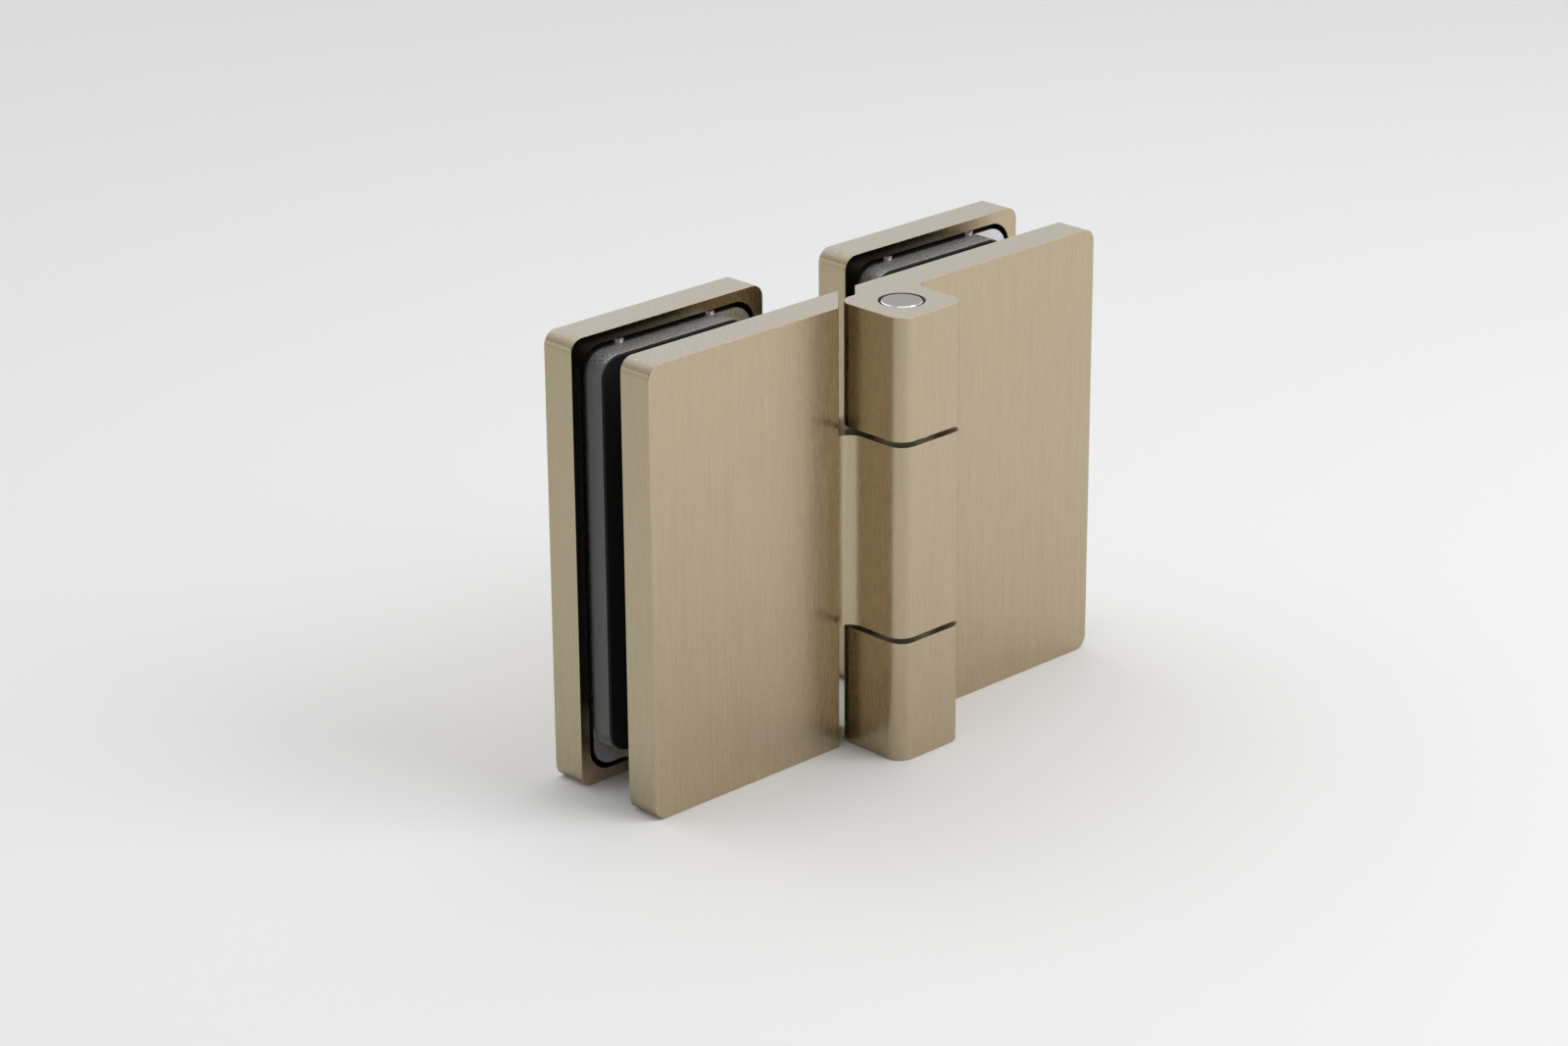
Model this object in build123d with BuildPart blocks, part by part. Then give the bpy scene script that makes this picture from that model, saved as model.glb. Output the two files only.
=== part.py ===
from build123d import *
import os

# A glass-to-glass door hinge that stands upright on its lower edges, opened flat.
# Origin: on the pin's axis, level with the lower edges. +X to the right leaf, +Y to the back, +Z up.
# Sizes are in millimetres.

# Plates
hinge_height = 90.0
leaf_reach = 59.7
plate_front = 5.2
plate_thickness = 7.5
plate_corner = 2.75
edge_break = 0.1

# Knuckles, seen from above
knuckle_side = 17.3
knuckle_round = 3.3
root_fillet = 3.2
relief_distance = 8.8
bevel_distance = 11.88

# Knuckles, along the pin
middle_knuckle = 38.8
knuckle_gap = 1.1

# Pin and its bearings
pin_radius = 4.0
pin_fit = 0.02
pin_chamfer = 0.15
bore_chamfer = 0.5
bush_wall = 0.95
bush_length = 12.0
running_clearance = 0.05
washer_radius = 7.0

# Glass and gaskets
glass_thickness = 8.0
gasket_thickness = 0.5
gasket_inset = 0.3

# Cover plates and their pockets
cover_inner_end = 11.1
cover_thickness = 7.5
pocket_depth = 4.0
pocket_rim = 2.25
pocket_corner = 5.0

# Clamp blocks
block_exposed = 4.5
block_gap = 1.0
block_corner = 4.5
block_edge_break = 0.1
step_across = 5.2
step_below = 4.0

# Clamp screws through the glass
clamp_spacing = 50.0
clamp_screw_radius = 3.0
clamp_head_radius = 5.6
clamp_head_sink = 0.4
clamp_engagement = 5.5
clamp_clearance = 0.2
clamp_socket_flats = 4.0
clamp_socket_depth = 2.0
thread_fit = 0.03
blind_hole_spare = 0.6
sleeve_radius = 7.0
sleeve_clearance = 0.2

# Set screws in the upper and lower edges of the clamp blocks
set_screw_radius = 1.25
set_screw_length = 5.0
set_screw_proud = 0.6
set_screw_spacing = 23.0
set_screw_behind = 1.6
set_socket_flats = 1.27
set_socket_depth = 1.5
set_relief_radius = 1.3
set_relief_depth = 0.7

# Places worked out from the sizes above
plate_back = plate_front + plate_thickness
block_front = plate_back + glass_thickness + 2 * gasket_thickness
cover_front = block_front + block_exposed
block_back = cover_front + pocket_depth
cover_width = leaf_reach - cover_inner_end
cover_middle = (leaf_reach + cover_inner_end) / 2
pocket_width = cover_width - 2 * pocket_rim
pocket_height = hinge_height - 2 * pocket_rim
block_width = pocket_width - 2 * block_gap
block_height = pocket_height - 2 * block_gap
raised_width = block_width - step_across
raised_height = block_height - step_below
end_knuckle = (hinge_height - middle_knuckle) / 2 - knuckle_gap
middle_height = hinge_height / 2
root_two = 2**0.5

# Two lengths closer than this count as the same
same_place = 1e-6

os.makedirs("parts", exist_ok=True)


def save(piece, label):
    """Labels a finished piece and writes it."""
    piece.part.label = label
    export_step(piece.part, "parts/" + label + ".step")


def upright_at(y):
    """A plane that faces the front, with its own x along X and its own y along Z."""
    return Plane.XZ.offset(-y)


def clamp_axes(side, y):
    """Planes at the clamp screws of one leaf, facing the back."""
    levels = (middle_height - clamp_spacing / 2, middle_height + clamp_spacing / 2)
    return [Plane(origin=(side * cover_middle, y, level), z_dir=(0, 1, 0)) for level in levels]


def set_screw_axes(side, out):
    """Planes over one leaf's set screws, facing up and down, a given height out from the block's edges."""
    y = cover_front + set_screw_behind
    places = (side * cover_middle - set_screw_spacing / 2, side * cover_middle + set_screw_spacing / 2)
    reach = block_height / 2 + out
    upper = [Plane(origin=(x, y, middle_height + reach), z_dir=(0, 0, 1)) for x in places]
    lower = [Plane(origin=(x, y, middle_height - reach), z_dir=(0, 0, -1)) for x in places]
    return upper + lower


# Leaves
def outline_edges(leaf, side):
    """The sharp edges round a leaf's upper, lower and outer ends."""
    level = leaf.edges().filter_by(lambda edge: edge.bounding_box().size.Z < same_place)
    ends = level.group_by(Axis.Z)[0] + level.group_by(Axis.Z)[-1]
    corner_start = leaf_reach - plate_corner
    sharp_ends = ends.filter_by(lambda edge: abs(edge.center().X - side * corner_start) > same_place)
    outer = leaf.edges().filter_by(lambda edge: side * edge.center().X > corner_start + same_place)
    sharp_outer = outer.filter_by(Axis.Y, reverse=True)
    return sharp_ends + sharp_outer


def make_leaf(side, knuckle_spans, bore_radius):
    """A front plate in one piece with its square knuckles; side is -1 on the left and 1 on the right."""
    half = knuckle_side / 2
    relief = relief_distance * root_two
    bevel = bevel_distance * root_two
    with BuildPart() as leaf:
        # The plate, bevelled at its inner end to clear the other leaf's knuckles
        with BuildSketch():
            with BuildLine():
                Polyline(
                    (side * (bevel - plate_front), plate_front),
                    (side * (bevel - plate_back), plate_back),
                    (side * leaf_reach, plate_back),
                    (side * leaf_reach, plate_front),
                    close=True,
                )
            make_face()
        extrude(amount=hinge_height)
        # Each arm reaches round the pin and is relieved at 45 degrees behind it
        for low, high in knuckle_spans:
            with BuildSketch(Plane.XY.offset(low)) as arm:
                with BuildLine():
                    Polyline(
                        (side * (plate_back - relief), plate_back),
                        (side * (half - relief), half),
                        (-side * half, half),
                        (-side * half, -half),
                        (side * half, -half),
                        (side * half, plate_front),
                        (side * leaf_reach, plate_front),
                        (side * leaf_reach, plate_back),
                        close=True,
                    )
                make_face()
                fillet(arm.vertices().group_by(Axis.Y)[0], knuckle_round)
                fillet(arm.vertices().sort_by_distance((-side * half, half))[0], knuckle_round)
                fillet(arm.vertices().sort_by_distance((side * half, plate_front))[0], root_fillet)
            extrude(amount=high - low)
        outer_end = leaf.faces().sort_by(Axis.X)[-1 if side > 0 else 0]
        fillet(outer_end.edges().filter_by(Axis.Y), plate_corner)
        chamfer(outline_edges(leaf, side), edge_break)
        Hole(bore_radius)
        # Blind tapped holes for the clamp screws
        with Locations(*clamp_axes(side, plate_back)):
            Hole(clamp_screw_radius + thread_fit, clamp_engagement + blind_hole_spare)
    return leaf


def chamfer_bore_ends(leaf, bore_radius):
    """Breaks the pin bore's edges at the top and bottom of the hinge."""
    circles = leaf.part.edges().filter_by(GeomType.CIRCLE)
    rims = circles.filter_by(lambda rim: abs(rim.radius - bore_radius) < same_place)
    with leaf:
        chamfer(rims.group_by(Axis.Z)[0] + rims.group_by(Axis.Z)[-1], bore_chamfer)


left_leaf_spans = [(end_knuckle + knuckle_gap, hinge_height - end_knuckle - knuckle_gap)]
bush_bore = pin_radius + running_clearance + bush_wall + pin_fit
left_leaf = make_leaf(-1, left_leaf_spans, bush_bore)
save(left_leaf, "left_leaf")

right_leaf_spans = [(0, end_knuckle), (hinge_height - end_knuckle, hinge_height)]
right_leaf = make_leaf(1, right_leaf_spans, pin_radius + pin_fit)
chamfer_bore_ends(right_leaf, pin_radius + pin_fit)
save(right_leaf, "right_leaf")


# Cover plates
def make_cover(side):
    """A back plate with a rounded pocket in its inner face, and a relief over each set screw."""
    with BuildPart() as cover:
        with BuildSketch(upright_at(cover_front)):
            with Locations((side * cover_middle, middle_height)):
                RectangleRounded(cover_width, hinge_height, plate_corner)
        extrude(amount=-cover_thickness)
        chamfer(cover.edges().filter_by(Axis.Y, reverse=True), edge_break)
        with BuildSketch(upright_at(cover_front)):
            with Locations((side * cover_middle, middle_height)):
                RectangleRounded(pocket_width, pocket_height, pocket_corner)
        extrude(amount=-pocket_depth, mode=Mode.SUBTRACT)
        with BuildSketch(*set_screw_axes(side, block_gap + set_relief_depth)):
            Circle(set_relief_radius)
        extrude(amount=-(set_relief_depth + block_gap), mode=Mode.SUBTRACT)
    return cover


# Clamp blocks
def raised_outline(side, inset):
    """The outline of a clamp block's raised face, or one inside it, which leaves a step at the right and below."""
    with Locations((side * cover_middle - step_across / 2, middle_height + step_below / 2)):
        RectangleRounded(raised_width - 2 * inset, raised_height - 2 * inset, block_corner - inset)


def make_block(side):
    """A stepped block that fills the cover's pocket and presses the glass to the front plate."""
    with BuildPart() as block:
        with BuildSketch(upright_at(cover_front)):
            with Locations((side * cover_middle, middle_height)):
                RectangleRounded(block_width, block_height, block_corner)
        extrude(amount=-pocket_depth)
        with BuildSketch(upright_at(block_front)):
            raised_outline(side, 0)
        extrude(amount=-block_exposed)
        chamfer(block.faces().sort_by(Axis.Y)[0].edges(), block_edge_break)
        with Locations(*clamp_axes(side, block_back)):
            CounterSinkHole(
                clamp_screw_radius + clamp_clearance,
                clamp_head_radius + clamp_head_sink + clamp_clearance,
            )
        with Locations(*set_screw_axes(side, 0)):
            Hole(set_screw_radius + thread_fit, set_screw_length - set_screw_proud + blind_hole_spare)
    return block


# Gaskets
def make_gasket(side, front):
    """A thin facing of the raised face's outline, with holes for the two screw sleeves."""
    with BuildPart() as gasket:
        with BuildSketch(upright_at(front)):
            raised_outline(side, gasket_inset)
        extrude(amount=-gasket_thickness)
        with Locations(*clamp_axes(side, front + gasket_thickness)):
            Hole(sleeve_radius + sleeve_clearance)
    return gasket


# Sleeves round the clamp screws
def make_sleeves(side):
    """Two plastic tubes that keep the clamp screws off the edge of the holes in the glass."""
    with BuildPart() as sleeves:
        with BuildSketch(*clamp_axes(side, block_front)):
            Circle(sleeve_radius)
            Circle(clamp_screw_radius + clamp_clearance, mode=Mode.SUBTRACT)
        extrude(amount=-(block_front - plate_back))
    return sleeves


# Clamp screws
def make_clamp_screws(side):
    """Two countersunk screws, from the block's back into the front plate."""
    head_top = block_back - clamp_head_sink
    length = head_top - plate_back + clamp_engagement
    with BuildPart() as screws:
        with Locations(*clamp_axes(side, head_top)):
            Cylinder(clamp_screw_radius, length, align=(Align.CENTER, Align.CENTER, Align.MAX))
            Cone(
                clamp_screw_radius,
                clamp_head_radius,
                clamp_head_radius - clamp_screw_radius,
                align=(Align.CENTER, Align.CENTER, Align.MAX),
            )
        with BuildSketch(*clamp_axes(side, head_top)):
            RegularPolygon(clamp_socket_flats / 2, 6, major_radius=False)
        extrude(amount=-clamp_socket_depth, mode=Mode.SUBTRACT)
    return screws


# Set screws
def make_set_screws(side):
    """Four small set screws in the block's upper and lower edges, standing a little proud of them."""
    with BuildPart() as screws:
        with BuildSketch(*set_screw_axes(side, set_screw_proud)):
            Circle(set_screw_radius)
        extrude(amount=-set_screw_length)
        with BuildSketch(*set_screw_axes(side, set_screw_proud)):
            RegularPolygon(set_socket_flats / 2, 6, major_radius=False)
        extrude(amount=-set_socket_depth, mode=Mode.SUBTRACT)
    return screws


for side, name in ((-1, "left"), (1, "right")):
    save(make_cover(side), name + "_cover")
    save(make_block(side), name + "_clamp_block")
    save(make_gasket(side, plate_back), name + "_front_gasket")
    save(make_gasket(side, block_front - gasket_thickness), name + "_clamp_gasket")
    save(make_sleeves(side), name + "_screw_sleeves")
    save(make_clamp_screws(side), name + "_clamp_screws")
    save(make_set_screws(side), name + "_cover_screws")


# Hinge pin
with BuildPart() as hinge_pin:
    Cylinder(pin_radius, hinge_height, align=(Align.CENTER, Align.CENTER, Align.MIN))
    chamfer(hinge_pin.edges().filter_by(GeomType.CIRCLE), pin_chamfer)
save(hinge_pin, "hinge_pin")


# Bushes at both ends of the middle knuckle
def make_bush(low):
    """A plain bush, from a given height up."""
    with BuildPart() as bush:
        with BuildSketch(Plane.XY.offset(low)):
            Circle(pin_radius + running_clearance + bush_wall)
            Circle(pin_radius + running_clearance, mode=Mode.SUBTRACT)
        extrude(amount=bush_length)
    return bush


save(make_bush(end_knuckle + knuckle_gap), "lower_bush")
save(make_bush(hinge_height - end_knuckle - knuckle_gap - bush_length), "upper_bush")


# Washers in the two gaps between the knuckles
def make_washer(low):
    """A thrust washer with a running clearance above and below it."""
    with BuildPart() as washer:
        with BuildSketch(Plane.XY.offset(low + running_clearance)):
            Circle(washer_radius)
            Circle(pin_radius + running_clearance, mode=Mode.SUBTRACT)
        extrude(amount=knuckle_gap - 2 * running_clearance)
    return washer


save(make_washer(end_knuckle), "lower_washer")
save(make_washer(hinge_height - end_knuckle - knuckle_gap), "upper_washer")
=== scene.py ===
import math

import bpy
from mathutils import Euler, Matrix, Vector

# A glass-to-glass door hinge in brushed champagne metal, standing on a pale floor.
# Sizes are in metres. +X runs to the right leaf, +Y to the back and +Z up the pin.

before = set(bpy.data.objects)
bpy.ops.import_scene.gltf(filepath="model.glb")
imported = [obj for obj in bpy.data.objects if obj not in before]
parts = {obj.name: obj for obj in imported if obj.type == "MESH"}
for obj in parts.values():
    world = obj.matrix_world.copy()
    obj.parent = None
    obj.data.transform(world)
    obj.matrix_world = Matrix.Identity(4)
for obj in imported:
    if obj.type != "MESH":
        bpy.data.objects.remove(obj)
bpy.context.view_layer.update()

# Colours, as linear light
champagne = (0.510, 0.416, 0.286)
# Painted shade: the end faces take a darker copy of the champagne
champagne_ends_painted_shade = (0.450, 0.383, 0.257)
# Painted light: the level faces take a lighter, paler copy of the champagne
champagne_level_painted_light = (0.450, 0.417, 0.342)
# Painted shade for the covers' pockets and the pin's bore rims
shaded_brown = (0.05, 0.041, 0.028)
plate_silver = (0.70, 0.70, 0.71)
block_grey = (0.125, 0.122, 0.120)
pin_grey = (0.220, 0.208, 0.197)
# Painted highlight on the pin's chamfer
pin_painted_highlight = (0.85, 0.83, 0.80)
washer_grey = (0.75, 0.73, 0.71)
screw_grey = (0.60, 0.59, 0.58)
# Painted shade in the set screws' sockets
socket_painted_shade = (0.03, 0.03, 0.03)
rubber_black = (0.006, 0.006, 0.006)
rubber_dust = (0.016, 0.016, 0.016)
plastic_black = (0.02, 0.02, 0.021)
floor_grey = (0.82, 0.82, 0.82)

# Features per metre of the brushing, across and along it, and of the other textures
brush_across = 3600.0
brush_along = 110.0
cloud_across = 700.0
cloud_along = 14.0
level_grain = 2500.0
paint_grain = 2800.0
lathe_rings = 9000.0
pin_haze = 900.0
steel_haze = 3000.0
dust_grain = 4500.0
plastic_cloud = 1800.0
floor_mottle = 3.0

# The brushing runs up the part, and leans back a little so that level faces have a direction too
brush_way = (0.0, 0.05, 1.0)

# A small step in front of a plane, so that a face on the plane counts as behind it
margin = 0.00005

# The covers' pockets, as distances from the middle of the hinge, and the plane that they open on
pocket_inner = 0.0132
pocket_outer = 0.0576
pocket_low = 0.0021
pocket_high = 0.0879
cover_front = 0.0262
pocket_floor = 0.0303

# Painted light and shade on the raised parts' sides: lighter towards the back, and then darker next to the
# cover
raised_lift_start = 0.0222
raised_lift_end = 0.0252

# Painted shade on the covers' inner faces: they darken into the slot for the glass, away from its open right
# end and the floor.
# The left cover starts that far left of the middle, and the right one starts a repeat further on.
cover_start = 0.0597
cover_repeat = 0.0708
slot_length = 0.043
slot_foot_low = 0.002
slot_foot_high = 0.018

# The pin's bore with its chamfered rim, as a radius
bore_rim = 0.00455

# The set screws' sockets: the middle of a pair, each one's distance from it, their depth and their radius
set_screw_middle = 0.0354
set_screw_side = 0.0115
set_screw_plane = 0.0278
socket_reach = 0.00095

# The point that the lights are aimed at
middle = (0.0, 0.0, 0.04)

# The pale dome: its level, and its growth along X, Y and Z
dome_level = 0.65
dome_growth = (0.147, 0.482, 0.0)

# Camera, at the photograph's viewing angle
camera_place = (-0.52325, -0.51200, 0.33042)
camera_azimuth = math.radians(43.870)
camera_elevation = math.radians(21.290)
camera_roll = math.radians(-0.386)
camera_lens = 94.05
camera_sensor = 36.0


# Materials
class Graph:
    """A material's node graph, built in a few words."""

    def __init__(self, name):
        self.material = bpy.data.materials.new(name)
        self.material.use_nodes = True
        self.tree = self.material.node_tree
        self.shader = self.tree.nodes["Principled BSDF"]

    def add(self, kind, settings=None, **inputs):
        """Adds a node. An input given as a socket is linked, and any other is set."""
        node = self.tree.nodes.new(kind)
        for key, value in (settings or {}).items():
            setattr(node, key, value)
        for key, value in inputs.items():
            self.feed(node.inputs[key.replace("_", " ")], value)
        return node

    def feed(self, socket, value):
        """Links or sets one input."""
        if isinstance(value, bpy.types.NodeSocket):
            self.tree.links.new(value, socket)
        else:
            socket.default_value = value

    def surface(self, **inputs):
        """Sets the shader's own inputs."""
        for key, value in inputs.items():
            self.feed(self.shader.inputs[key.replace("_", " ")], value)

    def place(self):
        """The X, Y and Z of a point on the part."""
        here = self.add("ShaderNodeTexCoord").outputs["Object"]
        return self.add("ShaderNodeSeparateXYZ", Vector=here).outputs

    def facing(self):
        """The X, Y and Z of the direction that the surface faces."""
        way = self.add("ShaderNodeTexCoord").outputs["Normal"]
        return self.add("ShaderNodeSeparateXYZ", Vector=way).outputs

    def noise(self, across, along, detail=2.0, roughness=0.5):
        """Noise from 0 to 1 with that many features per metre across and up the part."""
        here = self.add("ShaderNodeTexCoord").outputs["Object"]
        stretch = self.add("ShaderNodeVectorMath", {"operation": "MULTIPLY"})
        self.feed(stretch.inputs[0], here)
        self.feed(stretch.inputs[1], (across, across, along))
        node = self.add(
            "ShaderNodeTexNoise",
            Vector=stretch.outputs["Vector"],
            Scale=1.0,
            Detail=detail,
            Roughness=roughness,
        )
        return node.outputs["Fac"]

    def even_noise(self, density, detail=2.0, roughness=0.5):
        """Noise from 0 to 1 that is the same in every direction."""
        return self.noise(density, density, detail, roughness)

    def ranged(self, value, low, high, start=0.3, end=0.7):
        """A value between start and end, mapped to low and high."""
        node = self.add(
            "ShaderNodeMapRange",
            Value=value,
            From_Min=start,
            From_Max=end,
            To_Min=low,
            To_Max=high,
        )
        return node.outputs["Result"]

    def math(self, operation, first, second=0.0):
        """One sum or comparison."""
        node = self.add("ShaderNodeMath", {"operation": operation})
        self.feed(node.inputs[0], first)
        self.feed(node.inputs[1], second)
        return node.outputs["Value"]

    def size(self, value):
        """A number without its sign."""
        return self.math("ABSOLUTE", value)

    def product(self, first, *others):
        """Several numbers, multiplied."""
        total = first
        for other in others:
            total = self.math("MULTIPLY", total, other)
        return total

    def between(self, value, low, high):
        """1 where a value lies between two others and 0 elsewhere."""
        over = self.math("GREATER_THAN", value, low)
        under = self.math("LESS_THAN", value, high)
        return self.product(over, under)

    def distance(self, across, along):
        """The distance from an axis, from the two distances at right angles."""
        flat = self.add("ShaderNodeCombineXYZ", X=across, Y=along).outputs["Vector"]
        node = self.add("ShaderNodeVectorMath", {"operation": "LENGTH"})
        self.feed(node.inputs[0], flat)
        return node.outputs["Value"]

    def mix(self, factor, first, second):
        """A number between two."""
        node = self.add("ShaderNodeMix", {"data_type": "FLOAT"})
        self.feed(node.inputs[0], factor)
        self.feed(node.inputs[2], first)
        self.feed(node.inputs[3], second)
        return node.outputs[0]

    def mix_colour(self, factor, first, second):
        """A colour between two."""
        node = self.add("ShaderNodeMix", {"data_type": "RGBA"})
        self.feed(node.inputs[0], factor)
        self.feed(node.inputs[6], first)
        self.feed(node.inputs[7], second)
        return node.outputs[2]

    def scaled(self, colour, amount):
        """A colour, lighter or darker by a factor."""
        node = self.add("ShaderNodeVectorMath", {"operation": "SCALE"})
        self.feed(node.inputs[0], colour)
        self.feed(node.inputs["Scale"], amount)
        return node.outputs["Vector"]

    def bump(self, height, distance):
        """A bump of that height in metres."""
        node = self.add("ShaderNodeBump", Height=height, Distance=distance, Strength=1.0)
        return node.outputs["Normal"]


def opaque(colour):
    """A colour with full alpha."""
    return (*colour, 1.0)


def in_pocket(graph):
    """1 on the walls and floor of the covers' pockets and 0 elsewhere."""
    place = graph.place()
    across = graph.between(graph.size(place["X"]), pocket_inner, pocket_outer)
    deep = graph.between(place["Y"], cover_front, pocket_floor)
    high = graph.between(place["Z"], pocket_low, pocket_high)
    return graph.product(across, deep, high)


def in_bore(graph):
    """1 in the pin's bore and on its chamfered rims and 0 elsewhere."""
    place = graph.place()
    return graph.math("LESS_THAN", graph.distance(place["X"], place["Y"]), bore_rim)


def in_socket(graph):
    """1 in the set screws' sockets and 0 elsewhere."""
    place = graph.place()
    from_middle = graph.size(graph.math("SUBTRACT", graph.size(place["X"]), set_screw_middle))
    across = graph.math("SUBTRACT", from_middle, set_screw_side)
    deep = graph.math("SUBTRACT", place["Y"], set_screw_plane)
    return graph.math("LESS_THAN", graph.distance(across, deep), socket_reach)


def painted_slot_shade(graph):
    """Painted shade for the covers' inner faces: a factor nearly 0 at their left ends and 1 at the right and
    the foot.
    """
    place = graph.place()
    along = graph.math("MODULO", graph.math("ADD", place["X"], cover_start + margin), cover_repeat)
    rise = graph.ranged(along, 0.0, 1.0, 0.0, slot_length)
    foot = graph.ranged(place["Z"], 1.0, 0.0, slot_foot_low, slot_foot_high)
    light = graph.math("MAXIMUM", graph.product(rise, rise), foot)
    return graph.ranged(light, 0.05, 1.0, 0.0, 1.0)


def brushed_champagne():
    """Champagne metal, brushed upright on its upright faces and fine grained on its upper and lower ends."""
    graph = Graph("brushed_champagne")
    facing = graph.facing()
    upward = graph.size(facing["Z"])
    level = graph.ranged(upward, 0.0, 1.0, 0.6, 0.95)
    rounded = graph.between(upward, 0.4, 0.92)
    endwise = graph.ranged(graph.size(facing["X"]), 0.0, 1.0, 0.2, 0.6)
    inner = graph.product(
        graph.math("LESS_THAN", facing["Y"], -0.9),
        graph.math("GREATER_THAN", graph.place()["Y"], cover_front - margin),
    )
    painted_shade_hollows = graph.math("MAXIMUM", in_pocket(graph), in_bore(graph))

    streaks = graph.noise(brush_across, brush_along, 3.0, 0.6)
    clouds = graph.noise(cloud_across, cloud_along)
    texture = graph.mix(level, streaks, graph.even_noise(level_grain, 2.0, 0.6))
    upright_shade = graph.ranged(texture, 0.93, 1.07)
    level_shade = graph.ranged(texture, 0.77, 1.23)
    shade = graph.product(
        graph.mix(level, upright_shade, level_shade),
        graph.ranged(clouds, 0.985, 1.015),
        # Painted shade: the rounded edges are darkened so that their highlights are softer
        graph.mix(rounded, 1.0, 0.86),
        # Painted shade on the covers' inner faces, darkening into the slot
        graph.mix(inner, 1.0, painted_slot_shade(graph)),
    )
    # Painted shade: the end faces are a darker copy of the champagne
    colour = graph.mix_colour(endwise, opaque(champagne), opaque(champagne_ends_painted_shade))
    # Painted light: the level faces are a lighter, paler copy of the champagne
    colour = graph.mix_colour(level, colour, opaque(champagne_level_painted_light))
    # Painted shade: the pockets and the pin's bore rims are painted dark brown
    colour = graph.mix_colour(painted_shade_hollows, colour, opaque(shaded_brown))

    upright_roughness = graph.ranged(texture, 0.22, 0.30)
    level_roughness = graph.ranged(texture, 0.34, 0.46)
    roughness = graph.mix(level, upright_roughness, level_roughness)

    # The brushing spreads reflections sideways
    normal = graph.add("ShaderNodeNewGeometry").outputs["Normal"]
    sideways = graph.add("ShaderNodeVectorMath", {"operation": "CROSS_PRODUCT"})
    graph.feed(sideways.inputs[0], normal)
    graph.feed(sideways.inputs[1], brush_way)
    graph.surface(
        Base_Color=graph.scaled(colour, shade),
        Metallic=1.0,
        Roughness=graph.mix(rounded, roughness, 0.5),
        Anisotropic=0.6,
        Tangent=sideways.outputs["Vector"],
        Normal=graph.bump(texture, 0.000010),
    )
    return graph.material


def painted_block():
    """Bare silvery metal in the pocket, with dull dark grey paint on the raised part, painted glints on its
    level faces and painted light and shade on its sides.
    """
    graph = Graph("satin_grey_paint")
    depth = graph.place()["Y"]
    level = graph.ranged(graph.size(graph.facing()["Z"]), 0.0, 1.0, 0.3, 0.8)
    bare = graph.math("GREATER_THAN", depth, cover_front - margin)
    grain = graph.even_noise(paint_grain, 2.0, 0.7)
    # Painted light and shade on the raised sides: lighter towards the back, darker next to the cover
    painted_light_rise = graph.ranged(depth, 0.85, 2.0, raised_lift_start, raised_lift_end)
    painted_shade_fall = graph.ranged(depth, 1.0, 0.25, raised_lift_end, cover_front)
    # Painted glints: bright specks that also make the level faces lighter
    painted_glints = graph.ranged(grain, 0.6, 3.6, 0.35, 0.72)
    paint = graph.scaled(block_grey, graph.mix(level, graph.product(painted_light_rise, painted_shade_fall), painted_glints))
    metal = graph.scaled(plate_silver, graph.ranged(grain, 0.85, 1.15))
    graph.surface(
        Base_Color=graph.mix_colour(bare, paint, metal),
        Metallic=graph.mix(bare, 0.3, 1.0),
        Roughness=graph.ranged(grain, 0.25, 0.40),
        Specular_IOR_Level=1.0,
        Normal=graph.bump(grain, 0.00006),
    )
    return graph.material


def turned_steel():
    """Polished steel with faint rings from the lathe, and a painted highlight on its chamfer."""
    graph = Graph("turned_steel")
    place = graph.place()
    rings = graph.add(
        "ShaderNodeTexNoise",
        {"noise_dimensions": "1D"},
        W=graph.distance(place["X"], place["Y"]),
        Scale=lathe_rings,
        Detail=2.0,
    ).outputs["Fac"]
    haze = graph.even_noise(pin_haze)
    chamfer = graph.between(graph.size(graph.facing()["Z"]), 0.3, 0.95)
    # Painted highlight: the chamfer is much lighter than the pin
    colour = graph.mix_colour(chamfer, opaque(pin_grey), opaque(pin_painted_highlight))
    graph.surface(
        Base_Color=graph.scaled(colour, graph.ranged(haze, 0.95, 1.04)),
        Metallic=1.0,
        Roughness=graph.ranged(rings, 0.10, 0.20),
        Normal=graph.bump(rings, 0.0000008),
    )
    return graph.material


def hazy_steel(graph, colour):
    """Bright steel with a faint haze, in that colour."""
    haze = graph.even_noise(steel_haze)
    graph.surface(
        Base_Color=graph.scaled(colour, graph.ranged(haze, 0.92, 1.06)),
        Metallic=1.0,
        Roughness=graph.ranged(haze, 0.2, 0.32),
        Normal=graph.bump(haze, 0.000003),
    )
    return graph.material


def washer_steel():
    """Bright plain steel."""
    return hazy_steel(Graph("washer_steel"), washer_grey)


def screw_steel():
    """Bright steel, with painted shade in the set screws' sockets."""
    graph = Graph("screw_steel")
    # Painted shade: the sockets are dark
    return hazy_steel(graph, graph.mix_colour(in_socket(graph), opaque(screw_grey), opaque(socket_painted_shade)))


def matt_rubber():
    """Black gasket rubber with a dusty matt skin."""
    graph = Graph("gasket_rubber")
    dust = graph.even_noise(dust_grain, 3.0)
    graph.surface(
        Base_Color=graph.mix_colour(graph.ranged(dust, 0.0, 0.6), opaque(rubber_black), opaque(rubber_dust)),
        Roughness=graph.ranged(dust, 0.72, 0.9),
        Specular_IOR_Level=0.25,
        Normal=graph.bump(dust, 0.00001),
    )
    return graph.material


def moulded_plastic():
    """Smooth black bearing plastic."""
    graph = Graph("bearing_plastic")
    cloud = graph.even_noise(plastic_cloud, 3.0)
    graph.surface(
        Base_Color=graph.scaled(plastic_black, graph.ranged(cloud, 0.8, 1.25)),
        Roughness=graph.ranged(cloud, 0.38, 0.5),
        Normal=graph.bump(cloud, 0.000004),
    )
    return graph.material


def dress(material, *names):
    """Gives CAD nodes a material."""
    for name in names:
        slots = parts[name].data.materials
        slots.clear()
        slots.append(material)


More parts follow.
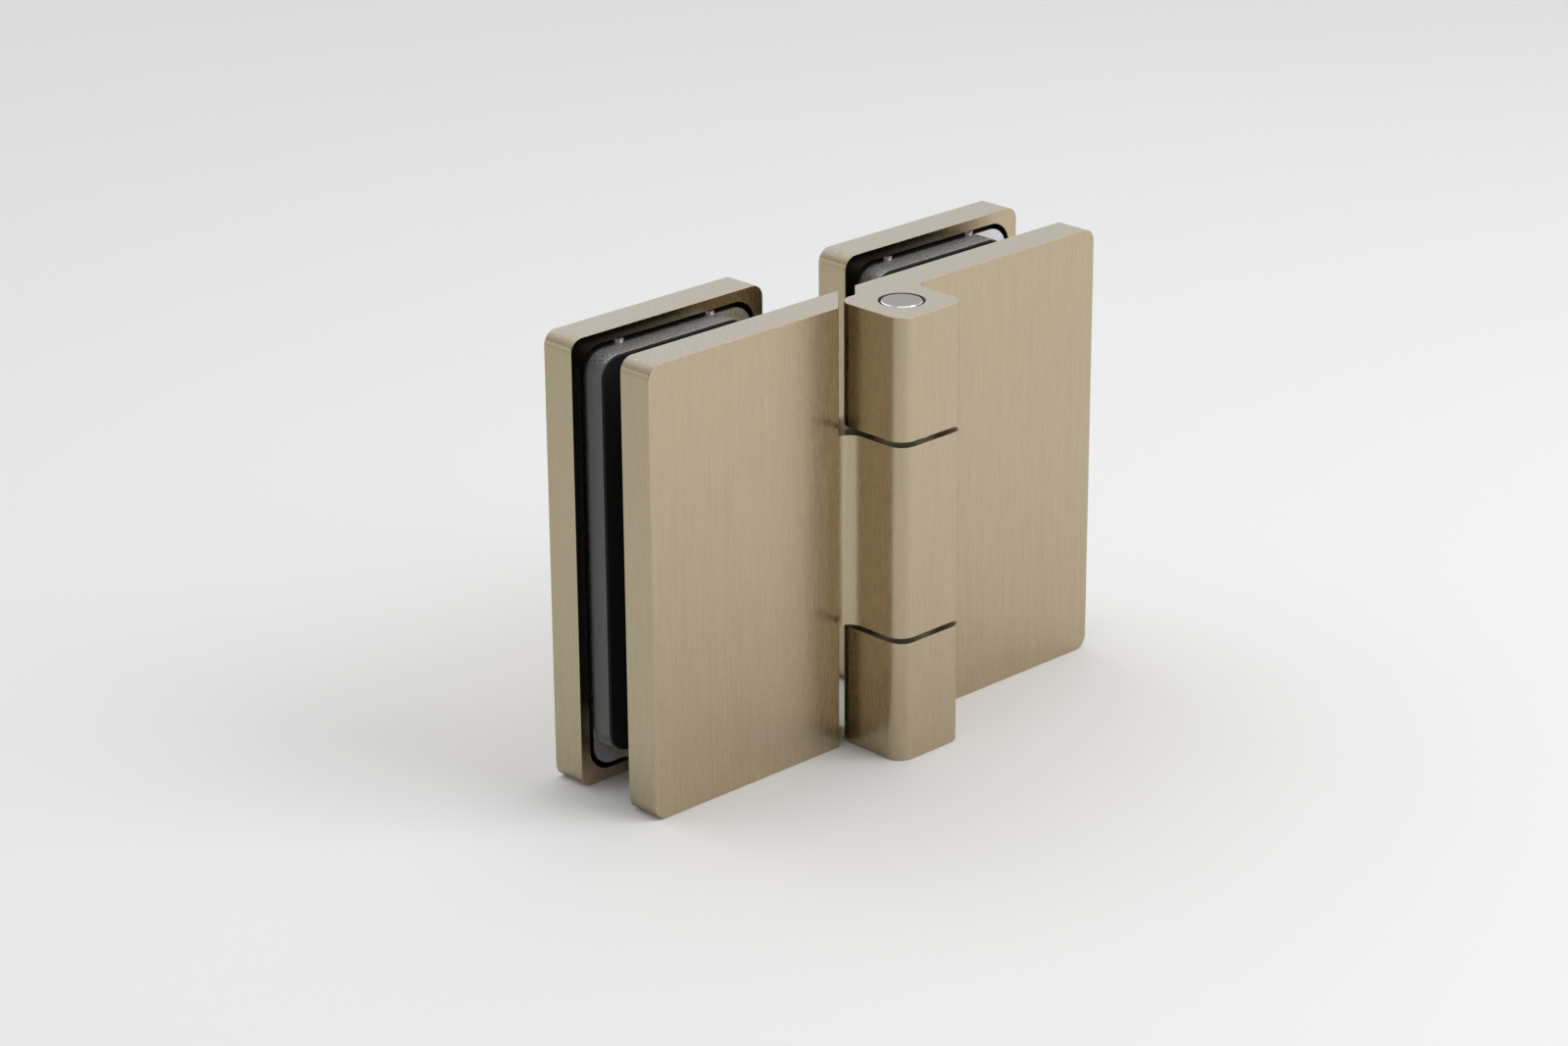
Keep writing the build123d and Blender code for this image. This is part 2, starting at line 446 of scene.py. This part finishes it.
def both_sides(*pieces):
    """The names of the left and right nodes of those pieces."""
    return [f"{side}_{piece}" for side in ("left", "right") for piece in pieces]


dress(brushed_champagne(), *both_sides("leaf", "cover"))
dress(painted_block(), *both_sides("clamp_block"))
dress(matt_rubber(), *both_sides("front_gasket", "clamp_gasket"))
dress(screw_steel(), *both_sides("clamp_screws", "cover_screws"))
dress(washer_steel(), "lower_washer", "upper_washer")
dress(turned_steel(), "hinge_pin")
dress(moulded_plastic(), "lower_bush", "upper_bush", *both_sides("screw_sleeves"))


# Floor
def make_floor():
    """A wide pale floor under the hinge."""
    size = 6.0
    mesh = bpy.data.meshes.new("studio_floor")
    corners = [(-size, -size, 0), (size, -size, 0), (size, size, 0), (-size, size, 0)]
    mesh.from_pydata(corners, [], [(0, 1, 2, 3)])
    floor = bpy.data.objects.new("studio_floor", mesh)
    bpy.context.scene.collection.objects.link(floor)
    graph = Graph("pale_floor")
    mottle = graph.even_noise(floor_mottle)
    graph.surface(
        Base_Color=graph.scaled(floor_grey, graph.ranged(mottle, 0.995, 1.005)),
        Roughness=0.9,
        Specular_IOR_Level=0.1,
    )
    mesh.materials.append(graph.material)


make_floor()


# Light
def soft_box(name, place, size, power):
    """A square soft light, aimed at the middle of the hinge."""
    light = bpy.data.lights.new(name, "AREA")
    light.shape = "SQUARE"
    light.size = size
    light.energy = power
    lamp = bpy.data.objects.new(name, light)
    lamp.location = place
    way = Vector(middle) - Vector(place)
    lamp.rotation_euler = way.to_track_quat("-Z", "Y").to_euler()
    bpy.context.scene.collection.objects.link(lamp)


def make_dome():
    """A pale world that grows brighter to the back and the right."""
    world = bpy.data.worlds.new("studio")
    world.use_nodes = True
    tree = world.node_tree
    direction = tree.nodes.new("ShaderNodeTexCoord").outputs["Generated"]
    lean = tree.nodes.new("ShaderNodeVectorMath")
    lean.operation = "DOT_PRODUCT"
    lean.inputs[1].default_value = dome_growth
    tree.links.new(direction, lean.inputs[0])
    total = tree.nodes.new("ShaderNodeMath")
    total.inputs[1].default_value = dome_level
    tree.links.new(lean.outputs["Value"], total.inputs[0])
    background = tree.nodes["Background"]
    background.inputs["Color"].default_value = (1.0, 1.0, 1.0, 1.0)
    tree.links.new(total.outputs["Value"], background.inputs["Strength"])
    bpy.context.scene.world = world


make_dome()
soft_box("right_front_light", (0.36, -0.60, 0.72), 0.6, 4.0)
soft_box("back_light", (-0.295, 1.184, 1.404), 1.2, 2.45)
soft_box("top_light", (0.05, -0.05, 0.80), 0.5, 0.8)


# Camera
def make_camera():
    """A long lens, from the left front and above."""
    data = bpy.data.cameras.new("camera")
    data.sensor_width = camera_sensor
    data.lens = camera_lens
    data.clip_start = 0.01
    camera = bpy.data.objects.new("camera", data)
    aim = Euler((math.pi / 2 - camera_elevation, 0.0, -camera_azimuth)).to_matrix()
    turn = aim @ Matrix.Rotation(camera_roll, 3, "Z")
    camera.matrix_world = Matrix.Translation(camera_place) @ turn.to_4x4()
    bpy.context.scene.collection.objects.link(camera)
    bpy.context.scene.camera = camera


make_camera()

bpy.context.scene.view_settings.view_transform = "Standard"
